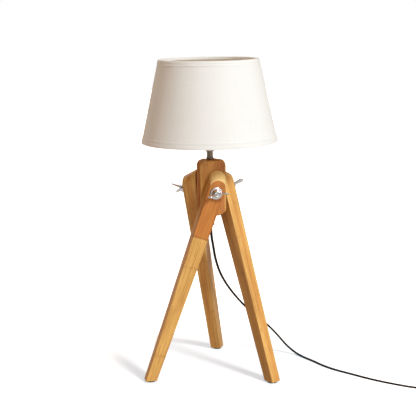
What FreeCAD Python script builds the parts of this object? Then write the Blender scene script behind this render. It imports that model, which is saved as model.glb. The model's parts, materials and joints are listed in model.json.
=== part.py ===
import FreeCAD, Part
import math
import os

os.makedirs("parts", exist_ok=True)

Vec = FreeCAD.Vector
UP = Vec(0, 0, 1)
OUT = Vec(0, -1, 0)        # away from the lamp's axis on the front side

# Tripod table lamp, in millimetres. +Z is up and z = 0 is the table top. The lamp's axis is
# the Z axis, and the hub's front face looks along -Y. A leg is drawn on the front face and
# turned about the axis for the other two.

# ---------------------------------------------------------------- driving dimensions
# hub: three boards round a three-sided core
pivot_height = 349.0       # of the legs' bolts
hub_below_pivot = 47.0
hub_height = 102.0
hub_face = 19.0            # from the lamp's axis to a board's outer face
board_width = 45.0
board_corner = 12.0        # radius of a board's four corners, seen from the front
core_face = 7.0            # from the lamp's axis to a face of the core
wood_edge = 1.2            # eased edges of boards and legs

# legs
leg_angles = {"front": 0.0, "right": 120.0, "back": 240.0}
splay = 20.0               # between a leg and the vertical, degrees
leg_width_pivot = 31.0
leg_width_foot = 19.6
leg_thickness_pivot = 27.0
leg_thickness_foot = 20.5
leg_reach_above = 24.5     # from the pivot up to the centre of the rounded top
leg_top_slant = 29.0       # how far the rounded top leans outwards and down, degrees
pad_thickness = 2.5
pad_diameter = 18.0

# leg fastenings
bolt_diameter = 8.0
bolt_in_board = 11.0
spacer_thickness = 2.5
spacer_diameter = 24.0
washer_diameter = 22.0
washer_thickness = 1.6
nut_base_diameter = 16.0
nut_crown_diameter = 12.0
nut_boss_height = 9.0
nut_height = 21.5
nut_span = 38.5
wing_thickness = 2.6
wing_lobe = 5.0            # radius of a wing's rounded end
nut_turns = {"front": 7.5, "right": 140.0, "back": 34.0}

# stem
rod_diameter = 10.0
rod_bore = 7.0
sleeve_diameter = 11.4
sleeve_height = 10.0
collar_diameter = 13.6
collar_height = 5.5
lock_nut_flats = 14.0
lock_nut_height = 4.0
hub_washer_diameter = 22.0
hub_washer_thickness = 1.5
hub_nut_flats = 17.0
hub_nut_height = 3.5
grip_diameter = 12.4
grip_length = 16.0
grip_screw_diameter = 3.0

# lampholder
holder_diameter = 39.0
holder_wall = 2.0
holder_nipple_diameter = 15.0
holder_nipple_height = 5.0
holder_dome_height = 12.0
holder_cap_height = 27.0
holder_shell_height = 37.0
holder_flange_diameter = 50.0
holder_flange_thickness = 2.5
holder_flange_below = 15.5  # from the foot of the shell to the flange
holder_ring_diameter = 56.0
holder_ring_height = 6.0
insert_height = 12.0
contact_height = 2.0
contact_diameter = 8.0

# bulb
bulb_cap_diameter = 26.4
bulb_cap_height = 22.0
bulb_diameter = 60.0
bulb_length_above_cap = 83.0
bulb_neck_diameter = 25.8
bulb_wall = 0.9
bulb_tip_height = 1.2

# shade
shade_bottom_diameter = 250.0
shade_top_diameter = 183.0
shade_height = 150.0
shade_below_spider = 31.1
fabric_thickness = 0.8
lining_thickness = 0.8
hem_thickness = 0.6
hem_bottom_band = 12.0
hem_top_band = 9.0
hem_fold = 5.0
wire_diameter = 3.0
arm_diameter = 3.6
spider_ring_width = 7.5
spider_ring_thickness = 2.0

# cord, switch and plug
cord_diameter = 5.0
switch_length = 58.0
switch_width = 25.0
switch_height = 17.0
switch_wall = 2.0
rocker_radius = 8.4
rocker_width = 8.0
rocker_rise = 2.0
rocker_tilt = 8.0
rocker_pin_diameter = 2.0
plug_width = 35.0
plug_thickness = 13.7
plug_length = 36.0
plug_relief_length = 20.0
plug_relief_diameter = 9.0
plug_shoulder = 14.0
plug_edge = 2.5
plug_pin_spacing = 19.0
plug_pin_diameter = 4.0
plug_pin_length = 19.0
plug_sleeve_length = 10.0

# the put-away coil
coil_inner_radius = 21.0
coil_turns_in = 2.5
coil_turns_up = 0.5
coil_turns_out = 2.0
coil_centre = Vec(461.0, -150.0, 0)

# clearances
running = 0.05             # radial, a shaft in its hole
face_gap = 0.1             # between flat faces of pieces that turn on each other
slip = 0.2                 # a loose fit

# ---------------------------------------------------------------- small helpers
EXPORTED = []


def export(name, shape):
    """Write one sub-part."""
    if not shape.isValid():
        print("not valid:", name)
    shape.exportStep("parts/" + name + ".step")
    EXPORTED.append(name)


def cylinder(diameter, height, base, axis=UP):
    return Part.makeCylinder(diameter / 2, height, base, axis)


def ring(outer, inner, height, z):
    """Flat ring round the lamp's axis."""
    return cylinder(outer, height, Vec(0, 0, z)).cut(cylinder(inner, height, Vec(0, 0, z)))


def revolve(points):
    """Turn a closed outline of (radius, z) points about the lamp's axis."""
    corners = [Vec(r, 0, z) for r, z in points]
    face = Part.Face(Part.makePolygon(corners + corners[:1]))
    return face.revolve(Vec(0, 0, 0), UP, 360)


def prism(points, height):
    """Closed outline of vectors, pushed along a height vector."""
    return Part.Face(Part.makePolygon(points + points[:1])).extrude(height)


def hexagon(flats, height, z):
    """Hexagonal bar round the lamp's axis."""
    corner = flats / math.sqrt(3)
    points = [Vec(corner * math.cos(math.radians(60 * k)), corner * math.sin(math.radians(60 * k)), z)
              for k in range(6)]
    return prism(points, UP * height)


def turned(shape, angle):
    """Copy of a shape, turned about the lamp's axis."""
    copy = shape.copy()
    copy.rotate(Vec(0, 0, 0), UP, angle)
    return copy


def ease(shape, radius, wanted):
    """Round the edges that the test picks."""
    edges = [edge for edge in shape.Edges if wanted(edge)]
    return shape.makeFillet(radius, edges)


def from_front(across, depth, z):
    """Point on the front side: across to the left, depth towards the front."""
    return Vec(-across, -depth, z)


def on_bolt(depth):
    """Point on the front bolt's axis."""
    return Vec(0, -depth, pivot_height)


# ---------------------------------------------------------------- hub
hub_bottom = pivot_height - hub_below_pivot
hub_top = hub_bottom + hub_height
board_half = board_width / 2
mitre_slope = math.tan(math.radians(60))
leg_plane = hub_face + spacer_thickness


def rounded_rectangle(half, low, high, corner, depth):
    """Outline of a board seen from the front, as a face at one depth."""
    def at(across, z):
        return from_front(across, depth, z)
    lean = corner * (1 - math.sqrt(0.5))
    edges = []
    spots = [(half, high, 1, 1), (-half, high, -1, 1), (-half, low, -1, -1), (half, low, 1, -1)]
    for k, (x, z, sx, sz) in enumerate(spots):
        ends = [at(x - sx * corner, z), at(x, z - sz * corner)]
        if k % 2 == 0:
            ends.reverse()
        edges.append(Part.Arc(ends[0], at(x - sx * lean, z - sz * lean), ends[1]).toShape())
        nx, nz, mx, mz = spots[(k + 1) % 4]
        if k % 2 == 0:
            follow = at(nx - mx * corner, nz)
        else:
            follow = at(nx, nz - mz * corner)
        edges.append(Part.LineSegment(ends[1], follow).toShape())
    return Part.Face(Part.Wire(edges))


def hub_board():
    """Front board: rounded corners, square ends, mitred where it meets the next board."""
    outline = [(board_half, hub_face), (board_half, board_half / mitre_slope),
               (core_face * mitre_slope, core_face)]
    outline += [(-across, depth) for across, depth in reversed(outline)]
    section = [from_front(across, depth, hub_bottom) for across, depth in outline]
    block = prism(section, UP * hub_height)
    front = rounded_rectangle(board_half, hub_bottom, hub_top, board_corner, 0)
    board = block.common(front.extrude(Vec(0, -2 * hub_face, 0)))
    board = ease(board, wood_edge, lambda e: e.BoundBox.YMax < -hub_face + 0.01)
    hole = cylinder(bolt_diameter + 2 * running, bolt_in_board, Vec(0, -hub_face, pivot_height), Vec(0, 1, 0))
    return board.cut(hole)


def hub_core():
    """Three-sided core that the stem passes through."""
    corner = 2 * core_face
    points = [Vec(corner * math.cos(math.radians(90 + 120 * k)), corner * math.sin(math.radians(90 + 120 * k)),
                  hub_bottom) for k in range(3)]
    core = prism(points, UP * hub_height)
    core = core.cut(cylinder(rod_diameter + 2 * running, hub_height, Vec(0, 0, hub_bottom)))
    for angle in leg_angles.values():
        hole = cylinder(bolt_diameter + 2 * running, bolt_in_board, Vec(0, -hub_face, pivot_height), Vec(0, 1, 0))
        core = core.cut(turned(hole, angle))
    return core


# ---------------------------------------------------------------- legs
tilt = math.radians(splay)
leg_length = pivot_height / math.cos(tilt)
width_slope = (leg_width_foot - leg_width_pivot) / 2 / leg_length
thickness_slope = (leg_thickness_foot - leg_thickness_pivot) / leg_length


def half_width(down):
    return leg_width_pivot / 2 + width_slope * down


def thickness(down):
    return leg_thickness_pivot + thickness_slope * down


def on_leg(down, aside, depth):
    """Point of the front leg: down its length, aside towards its upper edge, and its depth."""
    x = -math.sin(tilt) * down - math.cos(tilt) * aside
    z = pivot_height - math.cos(tilt) * down + math.sin(tilt) * aside
    return Vec(x, -depth, z)


def side_line(down):
    """Half width of the leg: even above the pivot, tapering below it."""
    return half_width(max(down, 0))


def leg():
    """Front leg: tapered both ways, with a slanted round top and a foot cut level."""
    low = leg_length + leg_width_pivot
    high = -leg_reach_above - leg_width_pivot
    radius = leg_width_pivot / 2
    deep = leg_plane + leg_thickness_pivot * 1.2
    outline = [on_leg(down, side * side_line(down), leg_plane)
               for side, way in ((1, (high, 0, low)), (-1, (low, 0, high))) for down in way]
    sides = prism(outline, OUT * (deep - leg_plane))
    round_top = Part.Wire([
        Part.Arc(on_leg(-leg_reach_above, -radius, leg_plane), on_leg(-leg_reach_above - radius, 0, leg_plane),
                 on_leg(-leg_reach_above, radius, leg_plane)).toShape(),
        Part.makePolygon([on_leg(-leg_reach_above, radius, leg_plane), on_leg(low, radius, leg_plane),
                          on_leg(low, -radius, leg_plane), on_leg(-leg_reach_above, -radius, leg_plane)])])
    lean = (deep - leg_plane) * math.tan(math.radians(leg_top_slant))
    top = Part.Face(round_top).extrude(on_leg(lean, 0, deep) - on_leg(0, 0, leg_plane))
    faces = prism([on_leg(down, -leg_width_pivot, depth)
                   for down, depth in ((high, leg_plane), (high, leg_plane + thickness(high)),
                                       (low, leg_plane + thickness(low)), (low, leg_plane))],
                  on_leg(0, leg_width_pivot, 0) - on_leg(0, -leg_width_pivot, 0))
    below = Part.makeBox(2 * leg_length, 2 * leg_length, leg_length,
                         Vec(-leg_length, -leg_length, pad_thickness - leg_length))
    body = sides.common(top).common(faces).cut(below).removeSplitter()
    body = ease(body, wood_edge, lambda e: e.BoundBox.ZMax > pad_thickness + 1)
    bore = cylinder(bolt_diameter + 2 * running, 2 * leg_thickness_pivot, on_bolt(hub_face), OUT)
    return body.cut(bore)


def foot_pad():
    """Round pad under the middle of the leg's level foot."""
    down = (pivot_height - pad_thickness) / math.cos(tilt)
    middle = on_leg(down, 0, leg_plane + thickness(down) / 2)
    return cylinder(pad_diameter, pad_thickness, Vec(middle.x, middle.y, 0))


# ---------------------------------------------------------------- leg fastenings
washer_seat = leg_plane + thickness(-washer_diameter / 2) + face_gap
nut_seat = washer_seat + washer_thickness + face_gap


def pivot_bolt():
    """Stud fixed in the board; its end stays a little inside the nut's boss."""
    start = hub_face - bolt_in_board
    end = nut_seat + nut_boss_height - 2
    return cylinder(bolt_diameter, end - start, on_bolt(start), OUT)


def spacer():
    """Disc that holds the leg off the board."""
    disc = cylinder(spacer_diameter, spacer_thickness - face_gap, on_bolt(hub_face), OUT)
    return disc.cut(cylinder(bolt_diameter + 2 * running, spacer_thickness, on_bolt(hub_face), OUT))


def washer():
    disc = cylinder(washer_diameter, washer_thickness, on_bolt(washer_seat), OUT)
    return disc.cut(cylinder(bolt_diameter + 2 * running, washer_thickness, on_bolt(washer_seat), OUT))


def wing(side):
    """One wing: a rounded plate that rises outwards from the nut's base."""
    reach = nut_span / 2 - wing_lobe
    root = nut_crown_diameter / 2
    peak = nut_height - wing_lobe
    half = wing_thickness / 2

    def at(across, out):
        return Vec(side * across, -nut_seat - out, pivot_height - half)
    slant = math.atan2(peak - nut_boss_height / 2, reach - root)
    away = Vec(side * math.sin(slant), -math.cos(slant), 0) * wing_lobe
    below = Vec(side * math.sin(slant), math.cos(slant), 0) * wing_lobe
    tip = at(reach, peak)
    top = tip + Vec(-side * math.sin(slant), -math.cos(slant), 0) * wing_lobe
    far = tip + Vec(side * math.cos(slant), -math.sin(slant), 0) * wing_lobe
    low = tip + below
    edges = [Part.LineSegment(at(root / 2, nut_boss_height * 0.8), top).toShape(),
             Part.Arc(top, far, low).toShape(),
             Part.LineSegment(low, at(root / 2, nut_boss_height * 0.15)).toShape(),
             Part.LineSegment(at(root / 2, nut_boss_height * 0.15), at(root / 2, nut_boss_height * 0.8)).toShape()]
    return Part.Face(Part.Wire(edges)).extrude(Vec(0, 0, wing_thickness))


def wing_nut(turn):
    """Boss with two wings, turned to where it was left."""
    boss = Part.makeCone(nut_base_diameter / 2, nut_crown_diameter / 2, nut_boss_height, on_bolt(nut_seat), OUT)
    nut = boss.fuse([wing(1), wing(-1)])
    nut = nut.cut(cylinder(bolt_diameter + 2 * running, nut_height, on_bolt(nut_seat), OUT)).removeSplitter()
    nut.rotate(on_bolt(0), OUT, turn)
    return nut


def make_hub_and_legs():
    export("hub_core", hub_core())
    board = hub_board()
    limb = leg()
    for side, angle in leg_angles.items():
        export("hub_board_" + side, turned(board, angle))
        export("leg_" + side, turned(limb, angle))
        export("foot_pad_" + side, turned(foot_pad(), angle))
        export("pivot_bolt_" + side, turned(pivot_bolt(), angle))
        export("spacer_" + side, turned(spacer(), angle))
        export("washer_" + side, turned(washer(), angle))
        export("wing_nut_" + side, turned(wing_nut(nut_turns[side]), angle))


# ---------------------------------------------------------------- stem
collar_top = hub_top + collar_height
sleeve_top = collar_top + sleeve_height
holder_bottom = sleeve_top + lock_nut_height
hub_washer_bottom = hub_bottom - hub_washer_thickness
hub_nut_bottom = hub_washer_bottom - hub_nut_height
grip_bottom = hub_nut_bottom - grip_length
rod_bottom = hub_nut_bottom - grip_length / 2
rod_top = holder_bottom + holder_nipple_height + holder_wall
rod_clear = rod_diameter + 2 * running


def stem_collar():
    """Rounded bead that covers the hole in the hub's top."""
    middle = collar_height * 0.42
    bulge = collar_diameter / 2
    slim = sleeve_diameter / 2
    profile = [Part.LineSegment(Vec(rod_clear / 2, 0, 0), Vec(slim + 0.4, 0, 0)).toShape(),
               Part.Arc(Vec(slim + 0.4, 0, 0), Vec(bulge, 0, middle), Vec(slim, 0, collar_height)).toShape(),
               Part.LineSegment(Vec(slim, 0, collar_height), Vec(rod_clear / 2, 0, collar_height)).toShape(),
               Part.LineSegment(Vec(rod_clear / 2, 0, collar_height), Vec(rod_clear / 2, 0, 0)).toShape()]
    bead = Part.Face(Part.Wire(profile)).revolve(Vec(0, 0, 0), UP, 360)
    bead.translate(Vec(0, 0, hub_top))
    return bead


def cord_grip():
    """Grip below the hub: a sleeve on the threaded rod that closes onto the cord."""
    body = cylinder(grip_diameter, grip_length, Vec(0, 0, grip_bottom))
    body = ease(body, 1.5, lambda e: e.BoundBox.ZMax < grip_bottom + 0.01)
    body = body.cut(cylinder(rod_clear, hub_nut_bottom - rod_bottom, Vec(0, 0, rod_bottom)))
    body = body.cut(cylinder(cord_diameter, grip_length, Vec(0, 0, grip_bottom)))
    return body.cut(side_bar(grip_screw_diameter + 2 * running, cord_diameter / 4))


def side_bar(diameter, start):
    """Bar across the grip's wall, from a distance off the axis to just outside the grip."""
    return cylinder(diameter, grip_diameter / 2 + 0.6 - start, Vec(start, 0, grip_bottom + grip_length / 4),
                    Vec(1, 0, 0))


def make_stem():
    rod = ring(rod_diameter, rod_bore, rod_top - rod_bottom, rod_bottom)
    export("stem_rod", rod)
    export("stem_collar", stem_collar())
    export("stem_sleeve", ring(sleeve_diameter, rod_clear, sleeve_height, collar_top))
    lock = hexagon(lock_nut_flats, lock_nut_height, sleeve_top)
    export("stem_lock_nut", lock.cut(cylinder(rod_clear, lock_nut_height, Vec(0, 0, sleeve_top))))
    export("hub_washer", ring(hub_washer_diameter, rod_clear, hub_washer_thickness, hub_washer_bottom))
    nut = hexagon(hub_nut_flats, hub_nut_height, hub_nut_bottom)
    export("hub_nut", nut.cut(cylinder(rod_clear, hub_nut_height, Vec(0, 0, hub_nut_bottom))))
    export("cord_grip", cord_grip())
    export("grip_screw", side_bar(grip_screw_diameter, cord_diameter / 2))
    export("cord_inner", cylinder(cord_diameter, rod_top - grip_bottom, Vec(0, 0, grip_bottom)))


# ---------------------------------------------------------------- lampholder and bulb
shell_bottom = holder_bottom + holder_cap_height
shell_top = shell_bottom + holder_shell_height
flange_top = shell_bottom + holder_flange_below + holder_flange_thickness
insert_top = shell_bottom + insert_height / 2
bulb_bottom = insert_top + contact_height + bulb_tip_height
bulb_cap_top = bulb_bottom + bulb_cap_height
bulb_top = bulb_cap_top + bulb_length_above_cap
thread_radius = bulb_cap_diameter / 2 + slip
spider_bottom = flange_top + face_gap
ring_bottom = spider_bottom + spider_ring_thickness + face_gap


def holder_cap():
    """Domed cap on the stem, hollow for the terminals."""
    outer = holder_diameter / 2
    inner = outer - holder_wall
    nipple = holder_nipple_diameter / 2
    floor = holder_bottom + holder_nipple_height
    shoulder = floor + holder_dome_height
    return revolve([(rod_clear / 2, holder_bottom), (nipple, holder_bottom), (nipple, floor),
                    (outer, shoulder), (outer, shell_bottom), (inner, shell_bottom), (inner, shoulder + 1),
                    (nipple, floor + holder_wall), (rod_clear / 2, floor + holder_wall)])


def holder_shell():
    """Threaded body with the flange that carries the shade."""
    outer = holder_diameter / 2
    flange = holder_flange_diameter / 2
    flange_bottom = flange_top - holder_flange_thickness
    return revolve([(outer - holder_wall, shell_bottom), (outer, shell_bottom), (outer, flange_bottom),
                    (flange, flange_bottom), (flange, flange_top), (outer, flange_top), (outer, shell_top),
                    (thread_radius, shell_top), (thread_radius, insert_top),
                    (outer - holder_wall, insert_top)])


def bulb_profile(inset):
    """Half outline of the bulb's glass from the cap up to the crown, as edges."""
    ball = bulb_diameter / 2 - inset
    centre = bulb_top - bulb_diameter / 2
    neck = bulb_neck_diameter / 2 - inset
    cheek = ball * math.sqrt(0.5)
    below = centre - cheek
    knee = Vec(neck, 0, bulb_cap_top + 7)
    bend = Vec(neck + (cheek - neck) * 0.32, 0, knee.z + (below - knee.z) * 0.58)
    return [Part.LineSegment(Vec(neck, 0, bulb_cap_top), knee).toShape(),
            Part.Arc(knee, bend, Vec(cheek, 0, below)).toShape(),
            Part.Arc(Vec(cheek, 0, below), Vec(ball, 0, centre), Vec(0, 0, centre + ball)).toShape()]


def bulb_glass():
    outer = bulb_profile(0)
    inner = bulb_profile(bulb_wall)
    rim = Part.LineSegment(outer[0].Vertexes[0].Point, inner[0].Vertexes[0].Point).toShape()
    crown = Part.LineSegment(inner[2].Vertexes[1].Point, outer[2].Vertexes[1].Point).toShape()
    edges = Part.__sortEdges__(outer + inner + [rim, crown])
    return Part.Face(Part.Wire(edges)).revolve(Vec(0, 0, 0), UP, 360)


def make_holder_and_bulb():
    export("holder_cap", holder_cap())
    export("holder_shell", holder_shell())
    seat = shell_bottom - insert_height / 2
    insert = cylinder(holder_diameter - 2 * holder_wall - slip, insert_height, Vec(0, 0, seat))
    export("holder_insert", insert)
    spring = cylinder(contact_diameter, contact_height, Vec(0, 0, insert_top))
    export("holder_contact", spring)
    lock_ring = ring(holder_ring_diameter, holder_diameter + 2 * slip, holder_ring_height, ring_bottom)
    lock_ring = ease(lock_ring, 1.5, lambda e: e.BoundBox.XLength > holder_ring_diameter - 1
                     and e.BoundBox.ZMin > ring_bottom + 1)
    export("holder_ring", lock_ring)
    tip = cylinder(contact_diameter, bulb_tip_height, Vec(0, 0, insert_top + contact_height))
    export("bulb_tip", tip)
    cap = cylinder(bulb_cap_diameter, bulb_cap_height, Vec(0, 0, bulb_bottom))
    export("bulb_cap", ease(cap, 2.0, lambda e: e.BoundBox.ZMax < bulb_bottom + 0.01))
    export("bulb_glass", bulb_glass())


# ---------------------------------------------------------------- shade
shade_bottom = spider_bottom - shade_below_spider
shade_top = shade_bottom + shade_height
shade_slope = (shade_top_diameter - shade_bottom_diameter) / 2 / shade_height


def fabric_radius(z):
    """Outer radius of the fabric at a height; the hems stand proud of it."""
    return shade_bottom_diameter / 2 - hem_thickness + shade_slope * (z - shade_bottom)


def lining_inside(z):
    return fabric_radius(z) - fabric_thickness - lining_thickness


wire_gap = 0.1
wire_bottom_z = shade_bottom + hem_thickness + wire_gap + wire_diameter / 2
wire_top_z = shade_top - hem_thickness - wire_gap - wire_diameter / 2
fold_width = wire_diameter + 2 * wire_gap + 0.2


def wire_radius(z):
    return lining_inside(z) - 2 * wire_gap - wire_diameter / 2


def cone_shell(radius_at, wall):
    """Conical skin between the folded edges."""
    low = shade_bottom + hem_thickness
    high = shade_top - hem_thickness
    return revolve([(radius_at(low) - wall, low), (radius_at(low), low), (radius_at(high), high),
                    (radius_at(high) - wall, high)])


def hem(edge, way, band):
    """Folded tape over one rim: outside band, edge and inside fold. way is +1 from the lower rim."""
    def fold_radius(z):
        return lining_inside(z) - fold_width
    lip = edge + way * hem_thickness
    outer = edge + way * band
    inner = edge + way * hem_fold
    return revolve([(fabric_radius(edge) + hem_thickness, edge), (fabric_radius(outer) + hem_thickness, outer),
                    (fabric_radius(outer), outer), (fabric_radius(lip), lip), (fold_radius(lip), lip),
                    (fold_radius(inner), inner), (fold_radius(inner) - hem_thickness, inner),
                    (fold_radius(edge) - hem_thickness, edge)])


spider_inner_diameter = holder_diameter + 2.0
spider_outer_radius = spider_inner_diameter / 2 + spider_ring_width


def spider_arm(extra, angle):
    """Arm from the carrier ring down to the lower wire."""
    start = Vec(spider_outer_radius - 1, 0, spider_bottom + spider_ring_thickness - arm_diameter * 0.6)
    end = Vec(wire_radius(wire_bottom_z) - wire_diameter / 2 - wire_gap, 0, wire_bottom_z)
    arm = cylinder(arm_diameter + extra, (end - start).Length, start, end - start)
    return turned(arm, angle)


ARM_ANGLES = (90, 210, 330)


def shade_spider():
    carrier = ring(2 * spider_outer_radius, spider_inner_diameter, spider_ring_thickness, spider_bottom)
    arms = [spider_arm(0, angle) for angle in ARM_ANGLES]
    return carrier.fuse(arms)


def make_shade():
    export("shade_spider", shade_spider())
    export("shade_wire_bottom", Part.makeTorus(wire_radius(wire_bottom_z), wire_diameter / 2,
                                               Vec(0, 0, wire_bottom_z)))
    export("shade_wire_top", Part.makeTorus(wire_radius(wire_top_z), wire_diameter / 2, Vec(0, 0, wire_top_z)))
    export("shade_fabric", cone_shell(fabric_radius, fabric_thickness))
    export("shade_lining", cone_shell(lambda z: fabric_radius(z) - fabric_thickness, lining_thickness))
    lower = hem(shade_bottom, 1, hem_bottom_band)
    for angle in ARM_ANGLES:
        lower = lower.cut(spider_arm(2 * slip, angle))
    export("shade_hem_bottom", lower)
    export("shade_hem_top", hem(shade_top, -1, hem_top_band))


# ---------------------------------------------------------------- cord
def route_edges(points):
    """Straight runs joined by tangent arcs, each as large as its two runs allow."""
    edges = []
    here = points[0]
    radii = []
    for before, corner, after in zip(points, points[1:], points[2:]):
        back = (before - corner).normalize()
        on = (after - corner).normalize()
        cut = 0.45 * min((before - corner).Length, (after - corner).Length)
        half_turn = (math.pi - back.getAngle(on)) / 2
        radius = cut / math.tan(half_turn)
        radii.append(radius)
        start = corner + back * cut
        end = corner + on * cut
        inward = (back + on).normalize()
        middle = corner + inward * (math.hypot(radius, cut) - radius)
        edges.append(Part.LineSegment(here, start).toShape())
        edges.append(Part.Arc(start, middle, end).toShape())
        here = end
    edges.append(Part.LineSegment(here, points[-1]).toShape())
    return edges, radii


def tube(edges, diameter, name):
    """Round tube along edges, with its volume compared with section times length."""
    path = Part.Wire(edges)
    first = edges[0]
    start = first.Vertexes[0].Point
    heading = (first.Vertexes[1].Point - start).normalize()
    section = Part.Wire(Part.Circle(start, heading, diameter / 2).toShape())
    solid = path.makePipeShell([section], True, False)
    expected = math.pi * diameter ** 2 / 4 * path.Length
    print(name, "length", round(path.Length, 1), "volume / expected", round(solid.Volume / expected, 4))
    return solid


# from the grip, past the back of the right leg, down to the table and along it to the switch
free_route = [Vec(0, 0, grip_bottom), Vec(0, 0, 262.0), Vec(5.5, 10.5, 241.0), Vec(14.0, 31.0, 208.0),
              Vec(26.5, 43.5, 174.0), Vec(47.5, 50.0, 139.0), Vec(81.0, 55.5, 98.5), Vec(118.5, 58.5, 67.0),
              Vec(145.0, 58.0, 37.5), Vec(161.5, 53.5, 16.0), Vec(178.0, 41.5, 3.2), Vec(186.5, 17.0, 2.5),
              Vec(197.5, -9.0, 2.5), Vec(205.5, -34.5, 2.5), Vec(220.5, -65.0, 2.5), Vec(242.0, -93.5, 2.5),
              Vec(266.5, -129.0, 2.5), Vec(297.5, -163.5, 2.5), Vec(331.0, -194.0, 2.5), Vec(351.0, -205.0, 3.5),
              Vec(367.0, -209.0, 8.5), Vec(382.0, -209.0, 8.5)]
switch_start = free_route[-1]
switch_end = switch_start + Vec(switch_length, 0, 0)
link_route = [switch_end, switch_end + Vec(14, 0, 0), Vec(471.5, -206.5, 3.2), Vec(485.0, -197.0, 2.5),
              Vec(494.0, -183.0, 2.5), Vec(497.75, -168.0, 2.5), Vec(497.75, -155.0, 2.5)]
tail_route = [Vec(494.6, -145.0, 8.4), Vec(494.6, -133.0, 8.4), Vec(495.7, -120.0, 6.85), Vec(495.7, -108.0, 6.85)]

coil_pitch = cord_diameter + 1.3
coil_lift = cord_diameter + 0.9


def coil_point(turn):
    """Centre line of the coil: in along the table, up half a turn, out on top."""
    reach_in = min(turn, coil_turns_in)
    climb = min(max(turn - coil_turns_in, 0), coil_turns_up) / coil_turns_up
    reach_out = max(turn - coil_turns_in - coil_turns_up, 0)
    radius = coil_inner_radius + coil_pitch * (coil_turns_in - reach_in + reach_out)
    rise = coil_lift * (1 - math.cos(math.pi * climb)) / 2
    angle = 2 * math.pi * turn
    return coil_centre + Vec(radius * math.cos(angle), radius * math.sin(angle), cord_diameter / 2 + rise)


def arc_between(start, corner, end):
    """Arc from start to end whose two end tangents meet at the corner."""
    chord = (start + end) * 0.5
    out = corner - chord
    lean = math.atan2(out.Length, (end - start).Length / 2)
    middle = chord + out.normalize() * ((end - start).Length / 2 * math.tan(lean / 2))
    return Part.Arc(start, middle, end)


def biarc(start, leave, end, arrive):
    """Two arcs between two points with given directions."""
    gap = end - start
    both = leave + arrive
    spread = 2 * (1 - leave.dot(arrive))
    reach = (math.sqrt(gap.dot(both) ** 2 + 2 * gap.dot(gap) * spread / 2) - gap.dot(both)) / spread
    first = start + leave * reach
    second = end - arrive * reach
    joint = (first + second) * 0.5
    return [arc_between(start, first, joint), arc_between(joint, second, end)]


def coil_edges():
    """The coil's turns, a biarc to each quarter, with a short straight at either end."""
    total = coil_turns_in + coil_turns_up + coil_turns_out
    count = round(total * 4)
    points = [coil_point(k * total / count) for k in range(count + 1)]
    headings = []
    for k in range(count + 1):
        turn = k * total / count
        step = (coil_point(turn + 0.01) - coil_point(turn - 0.01)).normalize()
        headings.append(step)
    headings[0] = Vec(0, 1, 0)
    headings[-1] = Vec(0, 1, 0)
    entry = points[0] - headings[0] * cord_diameter
    leave = points[-1] + headings[-1] * cord_diameter
    edges = [Part.LineSegment(entry, points[0]).toShape()]
    for k in range(count):
        for arc in biarc(points[k], headings[k], points[k + 1], headings[k + 1]):
            edges.append(arc.toShape())
    edges.append(Part.LineSegment(points[-1], leave).toShape())
    return edges


def least_self_gap(edges, diameter):
    """Least distance between turns of one tube, measured on points along its centre line."""
    points = Part.Wire(edges).discretize(Distance=1.0)
    skip = int(8 * diameter)
    least = min((points[i] - points[j]).Length
                for i in range(0, len(points), 2) for j in range(i + skip, len(points), 2))
    return least - diameter


def make_cord():
    for name, route in (("cord_free", free_route), ("cord_link", link_route), ("cord_tail", tail_route)):
        edges, radii = route_edges(route)
        print(name, "radii", [round(radius) for radius in radii])
        export(name, tube(edges, cord_diameter, name))
    turns = coil_edges()
    print("coil least gap between turns", round(least_self_gap(turns, cord_diameter), 2))
    export("cord_coil", tube(turns, cord_diameter, "cord_coil"))


# ---------------------------------------------------------------- switch
switch_axis = switch_start.z
switch_middle = switch_start + Vec(switch_length / 2, 0, 0)
rocker_pivot = Vec(switch_middle.x, switch_middle.y, switch_height - 4.5)


def switch_block(length, width, low, high, corner):
    """Upright block round the switch's middle with rounded corners."""
    block = Part.makeBox(length, width, high - low,
                         Vec(switch_middle.x - length / 2, switch_middle.y - width / 2, low))
    return ease(block, corner, lambda e: e.BoundBox.ZLength > (high - low) - 0.01)


def switch_half(low, high):
    """One half of the housing, open where the halves meet, with half of each cord hole."""
    corner = switch_width / 3
    outer = switch_block(switch_length, switch_width, low, high, corner)
    if low > 0:
        outer = ease(outer, 2.0, lambda e: e.BoundBox.ZMin > high - 0.01)
        inner = (low, high - switch_wall)
    else:
        inner = (low + switch_wall, high)
    pocket = switch_block(switch_length - 8 * switch_wall, switch_width - 2 * switch_wall,
                          inner[0], inner[1], corner - switch_wall)
    hole = cylinder(cord_diameter, switch_length, switch_start, Vec(1, 0, 0))
    return outer.cut([pocket, hole])


def switch_rocker():
    """Rocker with round ends about its pin and a shallow dip in its top, tipped to one side."""
    side = rocker_width / 2
    disc = cylinder(2 * rocker_radius, rocker_width, rocker_pivot - Vec(0, side, 0), Vec(0, 1, 0))
    reach = rocker_radius + 1
    rise = switch_height - rocker_pivot.z + rocker_rise
    dip = rise - 1.2
    outline = [Vec(-reach, -side, -2.2), Vec(reach, -side, -2.2), Vec(reach, -side, rise), Vec(0, -side, dip),
               Vec(-reach, -side, rise)]
    keep = prism([rocker_pivot + point for point in outline], Vec(0, rocker_width, 0))
    rocker = disc.common(keep)
    bore = cylinder(rocker_pin_diameter + 2 * running, rocker_width, rocker_pivot - Vec(0, side, 0), Vec(0, 1, 0))
    rocker = rocker.cut(bore)
    rocker.rotate(rocker_pivot, Vec(0, 1, 0), -rocker_tilt)
    return rocker


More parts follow.
